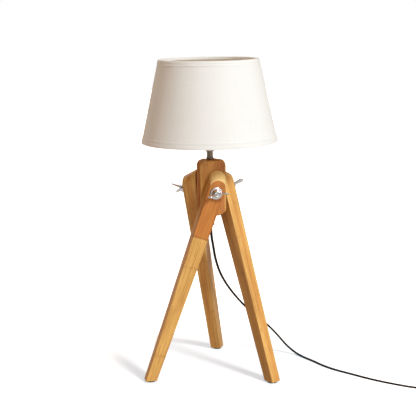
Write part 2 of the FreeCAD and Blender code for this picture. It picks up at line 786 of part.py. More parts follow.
def make_switch():
    base = switch_half(0, switch_axis)
    cover = switch_half(switch_axis, switch_height)
    window_length = 2 * (rocker_radius + 2 * slip)
    window_width = rocker_width + 4 * slip
    window = Part.makeBox(window_length, window_width, switch_wall + 2,
                          Vec(switch_middle.x - window_length / 2, switch_middle.y - window_width / 2,
                              switch_height - switch_wall - 1))
    cover = cover.cut(window)
    pin_length = switch_width - 2 * switch_wall
    pin_start = rocker_pivot - Vec(0, pin_length / 2, 0)
    screws = []
    for offset in (-1, 1):
        spot = switch_middle + Vec(offset * (switch_length / 2 - 3.5), 0, 0)
        side = Vec(spot.x, spot.y + offset * cord_diameter, 0)
        screw = cylinder(2.4, switch_axis + 1.5, side + Vec(0, 0, 1)).fuse(cylinder(4.4, 1.5, side + Vec(0, 0, 0.6)))
        room = cylinder(2.4 + 2 * running, switch_axis + 3, side).fuse(cylinder(4.4 + 2 * running, 2.1, side))
        base = base.cut(room)
        cover = cover.cut(room)
        screws.append(screw)
    export("switch_base", base)
    export("switch_cover", cover)
    export("switch_screws", Part.makeCompound(screws))
    export("switch_rocker", switch_rocker())
    export("switch_pin", cylinder(rocker_pin_diameter, pin_length, pin_start, Vec(0, 1, 0)))
    blocks = [Part.makeBox(5, 4, 4.5, switch_middle + Vec(offset * 14 - 2.5, -2, switch_wall - switch_axis))
              for offset in (-1, 1)]
    export("switch_terminals", Part.makeCompound(blocks))


# ---------------------------------------------------------------- plug
plug_entry = tail_route[-1]
plug_back = plug_entry + Vec(0, plug_relief_length, 0)
plug_front = plug_back + Vec(0, plug_length, 0)


def plug_body():
    """Flat two-pin plug with a tapered relief and sleeved pins."""
    half = plug_width / 2
    neck = plug_relief_diameter / 2 + 1.5
    low = plug_back.z - plug_thickness / 2
    outline = [(-neck, 0), (-half, plug_shoulder), (-half, plug_length), (half, plug_length), (half, plug_shoulder),
               (neck, 0)]
    points = [Vec(plug_back.x + x, plug_back.y + y, low) for x, y in outline]
    body = prism(points, UP * plug_thickness)
    body = ease(body, plug_edge, lambda e: e.BoundBox.YMin < plug_front.y - 1)
    relief = Part.makeCone(cord_diameter / 2 + 0.8, plug_relief_diameter / 2, plug_relief_length + 1, plug_entry,
                           Vec(0, 1, 0))
    body = body.fuse(relief)
    for side in (-1, 1):
        foot = plug_front + Vec(side * plug_pin_spacing / 2, 0, 0)
        sleeve = cylinder(plug_pin_diameter, plug_sleeve_length, foot, Vec(0, 1, 0))
        core = cylinder(plug_pin_diameter * 0.6, plug_sleeve_length + 8, foot - Vec(0, 8, 0), Vec(0, 1, 0))
        body = body.fuse(sleeve).cut(core)
    return body


def plug_pins():
    pins = []
    for side in (-1, 1):
        foot = plug_front + Vec(side * plug_pin_spacing / 2, 0, 0)
        shank = cylinder(plug_pin_diameter * 0.6, plug_sleeve_length + 8, foot - Vec(0, 8, 0), Vec(0, 1, 0))
        tip = cylinder(plug_pin_diameter, plug_pin_length - plug_sleeve_length,
                       foot + Vec(0, plug_sleeve_length, 0), Vec(0, 1, 0))
        tip = ease(tip, 0.8, lambda e: e.BoundBox.YMin > plug_front.y + plug_pin_length - 0.01)
        pins.append(shank.fuse(tip))
    return Part.makeCompound(pins)


make_hub_and_legs()
make_stem()
make_holder_and_bulb()
make_shade()
make_cord()
make_switch()
export("plug_body", plug_body())
export("plug_pins", plug_pins())
print(len(EXPORTED), "sub-parts")
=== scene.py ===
"""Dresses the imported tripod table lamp: finishes, cloth, cord, cast nuts, light and camera.

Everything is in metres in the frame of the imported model. The lamp's axis is Z, the table top is z = 0 and
the hub's front board looks along -Y.
"""

from __future__ import annotations

import json
import logging
import math
from dataclasses import dataclass, field
from enum import Enum
from typing import Callable, ClassVar, Sequence

import bmesh
import bpy
from bpy.types import Camera, Curve, Light, Material, Mesh, NodeSocket, Object, World
from mathutils import Matrix, Vector, noise

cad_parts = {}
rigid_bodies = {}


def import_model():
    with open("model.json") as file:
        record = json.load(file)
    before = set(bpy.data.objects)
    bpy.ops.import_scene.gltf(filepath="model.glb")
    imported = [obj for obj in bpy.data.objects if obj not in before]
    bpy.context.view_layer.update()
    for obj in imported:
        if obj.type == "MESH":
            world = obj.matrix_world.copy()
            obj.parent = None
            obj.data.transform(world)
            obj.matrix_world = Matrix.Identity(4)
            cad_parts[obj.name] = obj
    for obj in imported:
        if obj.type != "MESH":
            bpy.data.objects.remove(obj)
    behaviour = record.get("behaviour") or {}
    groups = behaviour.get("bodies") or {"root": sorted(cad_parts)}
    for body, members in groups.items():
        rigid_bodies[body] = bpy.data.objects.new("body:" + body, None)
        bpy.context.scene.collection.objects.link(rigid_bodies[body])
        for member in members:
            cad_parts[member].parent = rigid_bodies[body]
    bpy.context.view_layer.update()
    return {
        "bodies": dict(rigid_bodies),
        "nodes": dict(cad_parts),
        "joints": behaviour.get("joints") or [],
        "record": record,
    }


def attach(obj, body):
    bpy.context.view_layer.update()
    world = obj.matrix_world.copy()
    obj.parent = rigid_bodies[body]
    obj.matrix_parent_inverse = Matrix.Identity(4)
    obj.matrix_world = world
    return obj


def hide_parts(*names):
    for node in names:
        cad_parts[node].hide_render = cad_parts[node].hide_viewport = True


LOG = logging.getLogger("lamp")
MM = 0.001
TURN = 2 * math.pi
Colour = tuple[float, float, float]
Cells = tuple[float, float, float]
Span = tuple[float, float]
WHITE: Colour = (1.0, 1.0, 1.0)
SHARP = math.radians(38)
PIVOT_HEIGHT = 0.349


class Side(Enum):
    """The three sides of the hub, by the angle from the front one."""

    FRONT = 0.0
    RIGHT = 120.0
    BACK = 240.0

    @property
    def word(self) -> str:
        """The side's word in the names of its nodes."""
        return self.name.lower()

    @property
    def turn(self) -> float:
        """Angle about the lamp's axis in radians."""
        return math.radians(self.value)


def placed(name: str, data: Mesh | Curve | Camera | Light) -> Object:
    """Link a new object with the given data into the scene."""
    obj = bpy.data.objects.new(name, data)
    bpy.context.scene.collection.objects.link(obj)
    return obj


def baked(bm: bmesh.types.BMesh, name: str) -> Mesh:
    """Turn an edit mesh into a mesh, and free it."""
    mesh = bpy.data.meshes.new(name)
    bm.to_mesh(mesh)
    bm.free()
    return mesh


def polar(radius: float, angle: float, z: float) -> Vector:
    """Point at a radius and an angle round Z, and at a height."""
    return Vector((radius * math.cos(angle), radius * math.sin(angle), z))


# ---- shader graphs


class Wire:
    """An output socket that can be used in arithmetic."""

    def __init__(self, graph: Graph, socket: NodeSocket) -> None:
        """Keep the graph and the socket."""
        self.graph = graph
        self.socket = socket

    def maths(self, operation: str, *others: Wire | float, first: Wire | float | None = None) -> Wire:
        """Add a Math node.

        Args:
            operation: the node's operation.
            others: the operands after this one.
            first: an operand that stands before this one.

        Returns:
            The result's socket.
        """
        operands = [self, *others] if first is None else [first, self, *others]
        return self.graph.add("Math", "Value", dict(enumerate(operands)), operation=operation)

    def __add__(self, other: Wire | float) -> Wire:
        """Sum."""
        return self.maths("ADD", other)

    __radd__ = __add__

    def __sub__(self, other: Wire | float) -> Wire:
        """Difference."""
        return self.maths("SUBTRACT", other)

    def __rsub__(self, other: float) -> Wire:
        """Reflected difference."""
        return self.maths("SUBTRACT", first=other)

    def __mul__(self, other: Wire | float) -> Wire:
        """Product."""
        return self.maths("MULTIPLY", other)

    __rmul__ = __mul__

    def __truediv__(self, other: Wire | float) -> Wire:
        """Quotient."""
        return self.maths("DIVIDE", other)

    def __abs__(self) -> Wire:
        """Distance from zero."""
        return self.maths("ABSOLUTE")

    def floor(self) -> Wire:
        """Whole part."""
        return self.maths("FLOOR")

    def sine(self) -> Wire:
        """Sine of an angle in radians."""
        return self.maths("SINE")

    def rise(self, low: float, high: float) -> Wire:
        """Smooth step from 0 at low to 1 at high."""
        return self.graph.add("MapRange", "Result", {"Value": self, "From Min": low, "From Max": high},
                              interpolation_type="SMOOTHSTEP")

    def onto(self, low: float, high: float) -> Wire:
        """Value 0..1 stretched onto low..high."""
        return self * (high - low) + low


class Graph:
    """The node graph of one material or of the surroundings."""

    def __init__(self, name: str, owner: World | None = None) -> None:
        """Start an empty graph, on a new material unless an owner is given."""
        self.material = owner or bpy.data.materials.new(name)
        self.material.use_nodes = True
        self.tree = self.material.node_tree
        self.tree.nodes.clear()

    def add(self, kind: str, out: str | int, inputs: dict | None = None, **settings: str) -> Wire:
        """Add a shader node.

        Args:
            kind: the node's type, without its prefix.
            out: the output that is wanted.
            inputs: values or wires, by the socket's name or number.
            settings: attributes of the node.

        Returns:
            The wanted output.
        """
        node = self.tree.nodes.new("ShaderNode" + kind)
        for key, value in settings.items():
            setattr(node, key, value)
        for key, value in (inputs or {}).items():
            socket = node.inputs[key]
            if isinstance(value, Wire):
                self.tree.links.new(value.socket, socket)
            elif value is not None:
                socket.default_value = value
        return Wire(self, node.outputs[out])

    def place(self, origin: Vector = Vector(), turn: Vector = Vector()) -> Wire:
        """Object coordinates seen from a frame with the given origin and Euler angles."""
        coords = self.add("TexCoord", "Object")
        return self.add("Mapping", 0, {"Vector": coords, "Location": origin, "Rotation": turn},
                        vector_type="TEXTURE")

    def split(self, vector: Wire) -> tuple[Wire, Wire, Wire]:
        """The three parts of a vector."""
        first = self.add("SeparateXYZ", "X", {"Vector": vector})
        outputs = first.socket.node.outputs
        return first, Wire(self, outputs["Y"]), Wire(self, outputs["Z"])

    def join(self, x: Wire | float, y: Wire | float, z: Wire | float) -> Wire:
        """A vector from three parts."""
        return self.add("CombineXYZ", 0, {"X": x, "Y": y, "Z": z})

    def cloud(self, vector: Wire, cell: float | Cells | None = None, detail: float = 2.0, rough: float = 0.5) -> Wire:
        """Add noise.

        Args:
            vector: where it is read.
            cell: length of its cells, or lengths along the three axes, or nothing where a cell is one unit.
            detail: how many finer layers it has.
            rough: how strong each of these is.

        Returns:
            The noise, about 0..1.
        """
        if cell is not None:
            lengths = cell if isinstance(cell, tuple) else (cell,) * 3
            per_metre = tuple(1 / length for length in lengths)
            vector = self.add("Mapping", 0, {"Vector": vector, "Scale": per_metre})
        return self.add("TexNoise", 0, {"Vector": vector, "Scale": 1.0, "Detail": detail, "Roughness": rough})

    def blend(self, amount: Wire | float, low: Wire | Colour, high: Wire | Colour, way: str = "MIX") -> Wire:
        """Mix two colours."""
        inputs = {0: amount}
        for number, colour in ((6, low), (7, high)):
            inputs[number] = colour if isinstance(colour, Wire) else (*colour, 1.0)
        return self.add("Mix", 2, inputs, data_type="RGBA", blend_type=way)

    def bands(self, value: Wire, colours: Sequence[Colour]) -> Wire:
        """Plain bands of colour, one to each unit of a value."""
        count = len(colours)
        picked = self.add("ValToRGB", "Color", {"Fac": value / count})
        ramp = picked.socket.node.color_ramp
        while len(ramp.elements) < count:
            ramp.elements.new(0.5)
        for k, (element, colour) in enumerate(zip(ramp.elements, colours)):
            element.position = k / count
            element.color = (*colour, 1.0)
        ramp.interpolation = "CONSTANT"
        return picked

    def relief(self, height: Wire, depth: float, strength: float = 1.0) -> Wire:
        """Normal from a height of 0..1 that stands for a depth in metres."""
        return self.add("Bump", "Normal", {"Height": height, "Distance": depth, "Strength": strength})

    def surface(self, **inputs: Wire | float | Colour) -> Material:
        """Close the graph with a Principled shader.

        Args:
            inputs: its sockets, with underscores for spaces.

        Returns:
            The finished material.
        """
        named = {key.replace("_", " "): (*value, 1.0) if isinstance(value, tuple) else value
                 for key, value in inputs.items()}
        self.add_output(self.add("BsdfPrincipled", "BSDF", named))
        return self.material

    def add_output(self, shader: Wire, kind: str = "Material") -> None:
        """Link a shader to the output of a material or of the surroundings."""
        node = self.tree.nodes.new("ShaderNodeOutput" + kind)
        self.tree.links.new(shader.socket, node.inputs["Surface"])


# ---- finishes


@dataclass(frozen=True)
class LaminatedBamboo:
    """Lacquered bamboo, glued from plies, with its fibres along the piece's own Z.

    The plies follow one another along one local axis, from a start, and each has its own colour. A leg's outer
    ply can change colour at a butt joint, and its slanted round end can be painted lighter, a painted highlight as
    if lit from above, with end-grain dots: round_end is the round's centre along the leg, its slant and its radius.
    """

    name: str
    origin: Vector
    turn: Vector
    axis: int
    start: float
    ply: float
    colours: tuple[Colour, ...]
    seed: float
    node_phase: float = 0.33
    node_spacing: float = 0.174
    node_height: float = 0.0016
    joint_at: float | None = None
    above_joint: Colour = (0.72, 0.275, 0.058)
    round_end: tuple[float, float, float] | None = None
    # painted highlight: colour that the slanted top end is lightened towards
    painted_top_light: Colour = (0.97, 0.66, 0.27)
    deep: Colour = (0.60, 0.46, 0.34)
    dark: Colour = (0.30, 0.115, 0.032)
    glue_width: float = 0.0009
    waver: float = 0.0012
    joint_line: float = 0.0030
    joint_waver: float = 0.0016
    end_edge: float = 0.0013
    FIBRE: ClassVar[Cells] = (0.00055, 0.00055, 0.020)
    STREAK: ClassVar[Cells] = (0.0021, 0.0021, 0.13)
    PATCH: ClassVar[Cells] = (0.016, 0.016, 0.08)
    SPECK: ClassVar[Cells] = (0.0012, 0.0012, 0.0035)
    PORE: ClassVar[Cells] = (0.0004, 0.0004, 0.005)

    def build(self) -> Material:
        """Make the material."""
        g = Graph(self.name)
        at = g.place(self.origin, self.turn)
        parts = g.split(at)
        z = parts[2]
        bow = (g.cloud(at, (0.04, 0.04, 0.16), 1.0) - 0.5) * self.waver
        cell = (parts[self.axis] + bow - self.start) / self.ply
        whole = cell.floor()
        glue = (abs(cell - whole - 0.5) * 2).rise(1 - self.glue_width / self.ply, 1.0)
        colour = g.bands(cell, self.colours)
        own = g.join(whole * 3.7 + self.seed, whole * 1.3, self.seed)
        shifted = g.add("VectorMath", 0, {0: at, 1: own}, operation="ADD")
        fibre = g.cloud(shifted, self.FIBRE, 2.0, 0.6)
        streak = g.cloud(shifted, self.STREAK, 2.0, 0.55)
        patch = g.cloud(shifted, self.PATCH, 2.0, 0.5)
        if self.joint_at is not None:
            outer = 1 - cell.rise(0.98, 1.02)
            uneven = (g.cloud(at, 0.004, 1.0) - 0.5) * self.joint_waver
            over = z + uneven - self.joint_at
            colour = g.blend(outer * over.rise(-0.0006, 0.0006), colour, self.above_joint)
            line = (1 - abs(over - 0.0012).rise(0.0, self.joint_line)) * outer
            colour = g.blend(line * 0.42, colour, self.dark)
        depth = fibre.rise(0.36, 0.66) * 0.34 + streak.rise(0.40, 0.64) * 0.44 + patch.rise(0.3, 0.75) * 0.26
        colour = g.blend(depth, colour, self.deep, "MULTIPLY")
        away = z / self.node_spacing + self.node_phase + whole * 0.37
        away = away + (g.cloud(at, (0.006, 0.006, 0.02), 1.0) - 0.5) * 0.012
        away = abs(away - away.floor() - 0.5) * (2 * self.node_spacing)
        ring = 1 - away.rise(0.0, self.node_height)
        halo = 1 - away.rise(self.node_height, self.node_height * 7)
        speck = g.cloud(shifted, self.SPECK, 1.0).rise(0.46, 0.62)
        colour = g.blend(ring * 0.15 + halo * speck * 0.32, colour, self.dark)
        pore = g.cloud(shifted, self.PORE, 1.0).rise(0.60, 0.72)
        colour = g.blend(pore * 0.26 + glue * 0.38, colour, self.dark)
        # painted highlight: the slanted top end is made lighter, as if lit from above, with darker end-grain dots
        if self.round_end is not None:
            centre, lean, radius = self.round_end
            over = z - centre - parts[1] * lean
            reach = (parts[0] * parts[0] + over * over).maths("SQRT")
            cut = reach.rise(radius - self.end_edge, radius - self.end_edge + 0.001) * over.rise(-0.001, 0.004)
            dots = g.cloud(at, (0.0008, 0.0008, 0.004), 1.0).rise(0.52, 0.70)
            colour = g.blend(cut * (1 - dots * 0.35), colour, self.painted_top_light)
        height = fibre * 0.5 + streak * 0.3 - pore * 0.5 - glue * 0.7 + ring * 0.5
        return g.surface(Base_Color=colour, Roughness=patch.onto(0.36, 0.50) + pore * 0.1, Specular_IOR_Level=0.3,
                         Coat_Weight=0.12, Coat_Roughness=0.2, Normal=g.relief(height, 0.00014, 0.7))


@dataclass(frozen=True)
class PlatedMetal:
    """Plated or plain metal with fine turning lines and light handling marks."""

    name: str
    colour: Colour
    rough: float
    marks: float = 0.05
    turned: bool = True
    dark: Colour | None = None
    TURNED: ClassVar[Cells] = (0.02, 0.02, 0.00035)
    EVEN: ClassVar[float] = 0.0008

    def build(self) -> Material:
        """Make the material."""
        g = Graph(self.name)
        at = g.place()
        smear = g.cloud(at, 0.006, 3.0, 0.6)
        lines = g.cloud(at, self.TURNED if self.turned else self.EVEN, 1.0)
        speck = g.cloud(at, 0.0009, 1.0).rise(0.62, 0.75)
        low = self.dark or tuple(0.86 * part for part in self.colour)
        colour = g.blend(smear.rise(0.35, 0.75) * 0.6 + speck * 0.3, self.colour, low)
        rough = self.rough + smear * self.marks + lines * (self.marks * 0.6)
        return g.surface(Base_Color=colour, Metallic=1.0, Roughness=rough,
                         Normal=g.relief(lines + smear * 0.5, 0.00002, 0.5))


@dataclass(frozen=True)
class MouldedPlastic:
    """Moulded plastic or rubber with a spark-eroded grain."""

    name: str
    colour: Colour
    rough: float
    grain: float = 0.0005
    grain_depth: float = 0.00003
    wear: float = 0.010
    shine: float = 0.5

    def build(self) -> Material:
        """Make the material."""
        g = Graph(self.name)
        at = g.place()
        grain = g.cloud(at, self.grain, 2.0, 0.6)
        wipe = g.cloud(at, 0.012, 3.0, 0.55)
        dust = g.cloud(at, 0.0016, 2.0).rise(0.60, 0.78)
        lifted = tuple(min(1.0, part * 1.35 + self.wear) for part in self.colour)
        colour = g.blend(wipe.rise(0.35, 0.8) * 0.5 + dust * 0.3, self.colour, lifted)
        return g.surface(Base_Color=colour, Roughness=wipe.onto(self.rough - 0.06, self.rough + 0.08) + grain * 0.05,
                         Specular_IOR_Level=self.shine, Normal=g.relief(grain, self.grain_depth, 0.6))


@dataclass(frozen=True)
class PowderCoat:
    """Painted wire with the slight orange peel of powder coat."""

    name: str
    colour: Colour = (0.86, 0.855, 0.83)

    def build(self) -> Material:
        """Make the material."""
        g = Graph(self.name)
        at = g.place()
        peel = g.cloud(at, 0.0012, 2.0)
        age = g.cloud(at, 0.02, 3.0)
        colour = g.blend(age.rise(0.4, 0.8) * 0.5, self.colour, (0.80, 0.78, 0.72))
        return g.surface(Base_Color=colour, Roughness=peel.onto(0.34, 0.46), Normal=g.relief(peel, 0.00006, 0.5))


class Cloth(Enum):
    """What a piece of the shade is made of, as its thread pitch."""

    SHADE = 0.00085
    TAPE = 0.0007


@dataclass(frozen=True)
class PlainWeave:
    """Plain-woven cotton with slubs and painted shade between its threads, on the piece's own UV map in metres."""

    name: str
    cloth: Cloth
    light: Colour = (0.93, 0.93, 0.93)
    # shadow: darker colour for painted shade in the weave's gaps and for the slubs' and mottle's own tone
    shadow: Colour = (0.82, 0.80, 0.775)

    def build(self) -> Material:
        """Make the material."""
        g = Graph(self.name)
        pitch = self.cloth.value
        around = g.add("UVMap", "UV", uv_map="cut")
        u, v, _ = g.split(around)
        slub_v = g.cloud(g.join(u / (pitch * 1.2), v / 0.055, 0.0), None, 2.0, 0.7)
        slub_u = g.cloud(g.join(u / 0.05, v / (pitch * 1.2), 4.0), None, 2.0, 0.7)
        warp = (u * (TURN / (2 * pitch)) + slub_v * 0.8).sine()
        weft = (v * (TURN / (2 * pitch)) + slub_u * 0.8).sine()
        over = abs(warp) * (0.55 + slub_v * 0.9)
        under = abs(weft) * (0.55 + slub_u * 0.9)
        weave = (over + under) * 0.5
        # painted shade: the gaps between the threads are darkened
        gap_shade = 1 - weave.rise(0.18, 0.5)
        mottle = g.cloud(g.join(u / 0.03, v / 0.03, 9.0), None, 3.0, 0.6)
        streak = slub_v.rise(0.50, 0.72) * 0.24 + slub_u.rise(0.50, 0.72) * 0.20
        colour = g.blend(gap_shade * 0.22 + streak + mottle * 0.16, self.light, self.shadow)
        height = weave + slub_v * 0.35 + slub_u * 0.35
        return g.surface(Base_Color=colour, Roughness=mottle.onto(0.78, 0.92), Sheen_Weight=0.25,
                         Sheen_Roughness=0.4, Normal=g.relief(height, 0.00018, 0.55))


@dataclass(frozen=True)
class BackingFilm:
    """Cream film that stiffens the shade from inside."""

    name: str
    colour: Colour = (0.98, 0.92, 0.81)

    def build(self) -> Material:
        """Make the material."""
        g = Graph(self.name)
        at = g.place()
        ripple = g.cloud(at, (0.03, 0.03, 0.09), 2.0)
        haze = g.cloud(at, 0.004, 2.0)
        colour = g.blend(ripple.rise(0.3, 0.8) * 0.5, self.colour, (0.96, 0.89, 0.77))
        return g.surface(Base_Color=colour, Roughness=haze.onto(0.38, 0.55), Normal=g.relief(ripple, 0.0006, 0.4))


@dataclass(frozen=True)
class FrostedGlass:
    """Glass with an etched inside."""

    name: str
    colour: Colour = (0.95, 0.95, 0.93)

    def build(self) -> Material:
        """Make the material."""
        g = Graph(self.name)
        at = g.place()
        etch = g.cloud(at, 0.0015, 2.0)
        bloom = g.cloud(at, 0.02, 2.0)
        colour = g.blend(bloom * 0.4, self.colour, (0.90, 0.89, 0.85))
        return g.surface(Base_Color=colour, Roughness=etch.onto(0.22, 0.34), Transmission_Weight=0.25, IOR=1.5,
                         Normal=g.relief(etch, 0.00003, 0.3))


# ---- mesh making


class Maker:
    """Makes meshes from rows of points and turns them into pieces on a body."""

    @staticmethod
    def piece(name: str, mesh: Mesh, body: str, slot: str, finish: Material,
              nodes: Sequence[str] = ()) -> Object:
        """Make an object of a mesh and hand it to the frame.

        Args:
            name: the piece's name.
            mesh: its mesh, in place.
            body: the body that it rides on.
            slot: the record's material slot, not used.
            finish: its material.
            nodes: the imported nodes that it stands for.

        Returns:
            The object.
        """
        obj = placed(name, mesh)
        mesh.materials.clear()
        mesh.materials.append(finish)
        mesh.shade_smooth()
        mesh.set_sharp_from_angle(angle=SHARP)
        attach(obj, body)
        if nodes:
            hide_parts(*nodes)
        LOG.info("%s: %d faces on %s", name, len(mesh.polygons), body)
        return obj

    @staticmethod
    def skin(name: str, rows: Sequence[Sequence[Vector]], loop: bool = False,
             cut: Callable[[int, int], tuple[float, float]] | None = None) -> Mesh:
        """Join rows of closed rings by faces.

        Args:
            name: the mesh's name.
            rows: rings of points, one after another, each closed on itself.
            loop: whether the last ring joins the first; otherwise the two end rings are filled.
            cut: the UV of a row and a place in it, where the piece has a UV map.

        Returns:
            The mesh, with its normals outwards.
        """
        bm = bmesh.new()
        rings = [[bm.verts.new(point) for point in row] for row in rows]
        count = len(rings[0])
        layer = bm.loops.layers.uv.new("cut") if cut else None
        pairs = len(rings) if loop else len(rings) - 1
        for i in range(pairs):
            near, far = rings[i], rings[(i + 1) % len(rings)]
            for j in range(count):
                k = (j + 1) % count
                face = bm.faces.new((near[j], near[k], far[k], far[j]))
                if layer:
                    for corner, (row, place) in zip(face.loops, ((i, j), (i, j + 1), (i + 1, j + 1), (i + 1, j))):
                        corner[layer].uv = cut(row, place)
        if not loop:
            bm.faces.new(rings[0][::-1])
            bm.faces.new(rings[-1])
        bmesh.ops.recalc_face_normals(bm, faces=bm.faces)
        return baked(bm, name)

    @staticmethod
    def turned(name: str, profile: Sequence[tuple[float, float]], place: Matrix, steps: int = 96) -> Mesh:
        """Turn a closed profile about an axis.

        Args:
            name: the mesh's name.
            profile: closed outline of (radius, height) points.
            place: puts the local Z axis in the frame.
            steps: how many facets go round.

        Returns:
            The mesh.
        """
        rows = []
        for k in range(steps):
            angle = TURN * k / steps
            rows.append([place @ polar(r, angle, h) for r, h in profile])
        return Maker.skin(name, rows, loop=True)

    @staticmethod
    def rounded(corners: Sequence[tuple[float, float, float]], steps: int = 4) -> list[tuple[float, float]]:
        """Closed outline whose corners are rounded.

        Args:
            corners: (x, y, radius) of each corner.
            steps: facets of each rounding.

        Returns:
            The outline's points.
        """
        points = []
        for k, (x, y, radius) in enumerate(corners):
            if radius <= 0:
                points.append((x, y))
                continue
            here = Vector((x, y))
            back = Vector(corners[k - 1][:2]) - here
            on = Vector(corners[(k + 1) % len(corners)][:2]) - here
            half = back.angle(on) / 2
            reach = min(radius / math.tan(half), 0.49 * back.length, 0.49 * on.length)
            start, end = here + back.normalized() * reach, here + on.normalized() * reach
            for step in range(steps + 1):
                t = step / steps
                bend = start.lerp(here, t).lerp(here.lerp(end, t), t)
                points.append((bend.x, bend.y))
        return points

    @staticmethod
    def applied(obj: Object) -> Mesh:
        """The plain mesh of an object with its modifiers worked in; the object goes."""
        bpy.context.view_layer.update()
        evaluated = obj.evaluated_get(bpy.context.evaluated_depsgraph_get())
        mesh = bpy.data.meshes.new_from_object(evaluated)
        bpy.data.objects.remove(obj)
        return mesh


class Sprig:
    """A Geometry Nodes tree that repeats one small shape round a ring."""

    def __init__(self, name: str) -> None:
        """Build the tree with its named inputs."""
        tree = bpy.data.node_groups.new(name, "GeometryNodeTree")
        face = tree.interface
        face.new_socket("Geometry", in_out="INPUT", socket_type="NodeSocketGeometry")
        for word, kind in (("Count", "Int"), ("Radius", "Float"), ("Finish", "Material")):
            face.new_socket(word, in_out="INPUT", socket_type="NodeSocket" + kind)
        face.new_socket("Geometry", in_out="OUTPUT", socket_type="NodeSocketGeometry")
        self.tree = tree
        kinds = {"source": "NodeGroupInput", "ring": "GeometryNodeMeshCircle", "spots": "GeometryNodeInstanceOnPoints",
                 "place": "GeometryNodeInputPosition", "aim": "FunctionNodeAlignRotationToVector",
                 "real": "GeometryNodeRealizeInstances", "paint": "GeometryNodeSetMaterial",
                 "sink": "NodeGroupOutput"}
        node = {word: tree.nodes.new(kind) for word, kind in kinds.items()}
        node["aim"].axis = "X"
        wires = ("source.Count ring.Vertices", "source.Radius ring.Radius", "ring.Mesh spots.Points",
                 "source.Geometry spots.Instance", "place.Position aim.Vector", "aim.Rotation spots.Rotation",
                 "spots.Instances real.Geometry", "real.Geometry paint.Geometry", "source.Finish paint.Material",
                 "paint.Geometry sink.Geometry")
        for wire in wires:
            (giver, out), (taker, into) = (end.split(".") for end in wire.split())
            tree.links.new(node[giver].outputs[out], node[taker].inputs[into])

    def grow(self, name: str, seed_mesh: Mesh, count: int, radius: float,
             finish: Material, place: Matrix) -> Mesh:
        """Repeat a shape round a ring.

        Args:
            name: the mesh's name.
            seed_mesh: the shape, with its outward side along local X.
            count: how many there are.
            radius: the ring's radius.
            finish: their material.
            place: puts the ring in the frame.

        Returns:
            The joined mesh, in place.
        """
        obj = placed(name, seed_mesh)
        modifier = obj.modifiers.new("ring", "NODES")
        modifier.node_group = self.tree
        sockets = {item.name: item.identifier for item in self.tree.interface.items_tree if item.in_out == "INPUT"}
        modifier[sockets["Count"]] = count
        modifier[sockets["Radius"]] = radius
        modifier[sockets["Finish"]] = finish
        mesh = Maker.applied(obj)
        mesh.transform(place)
        return mesh


# ---- the hub


class Tone(Enum):
    """Colours of bamboo strips."""

    LIGHT = (0.91, 0.530, 0.160)
    MIDDLE = (0.86, 0.435, 0.115)
    ORANGE = (0.76, 0.325, 0.075)
    BROWN = (0.68, 0.280, 0.078)


@dataclass
class Woodwork:
    """The hub's boards and core and the three legs, all of laminated bamboo."""

    splay: float = math.radians(20)
    strip: float = 0.0115
    strip_start: float = -0.031
    board_tones: tuple[Tone, ...] = (Tone.LIGHT, Tone.MIDDLE, Tone.MIDDLE, Tone.ORANGE, Tone.BROWN)
    leg_ply: float = 0.0090
    leg_tones: tuple[Tone, ...] = (Tone.LIGHT, Tone.MIDDLE, Tone.LIGHT)
    leg_plane: float = 0.0215
    leg_end: tuple[float, float, float] = (0.0245, math.tan(math.radians(29)), 0.0155)
    joint: float = -0.0878
    seeds: dict[Side, float] = field(default_factory=lambda: {Side.FRONT: 2.3, Side.RIGHT: 6.1, Side.BACK: 9.4})

    def dress(self, nodes: dict[str, Object]) -> None:
        """Give each wooden node its finish.

        Args:
            nodes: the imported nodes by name.
        """
        boards = tuple(tone.value for tone in self.board_tones)
        legs = tuple(tone.value for tone in self.leg_tones)
        for side in Side:
            seed = self.seeds[side]
            turn = Vector((0, 0, side.turn))
            board = LaminatedBamboo("bamboo board " + side.word, Vector(), turn, 0, self.strip_start, self.strip,
                                    boards, seed + 0.5, node_phase=0.1 * seed, node_spacing=0.21)
            paint(nodes["hub_board_" + side.word], board.build())
            out = Matrix.Rotation(side.turn, 3, "Z") @ Vector((0, -1, 0))
            origin = out * self.leg_plane + Vector((0, 0, PIVOT_HEIGHT))
            joint = self.joint if side is Side.FRONT else None
            # the front and right legs get the painted highlight on their slanted top ends; the back leg doesn't
            leg = LaminatedBamboo("bamboo leg " + side.word, origin, Vector((0, self.splay, side.turn)), 1,
                                  -self.leg_ply * len(legs), self.leg_ply, legs[::-1], seed, joint_at=joint,
                                  round_end=None if side is Side.BACK else self.leg_end)
            paint(nodes["leg_" + side.word], leg.build())
        core = LaminatedBamboo("bamboo core", Vector(), Vector(), 0, self.strip_start, self.strip, boards, 4.7)
        paint(nodes["hub_core"], core.build())


def paint(obj: Object, finish: Material) -> None:
    """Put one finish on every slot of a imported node."""
    if not obj.material_slots:
        obj.data.materials.append(finish)
    for slot in obj.material_slots:
        slot.material = finish


# ---- fastenings


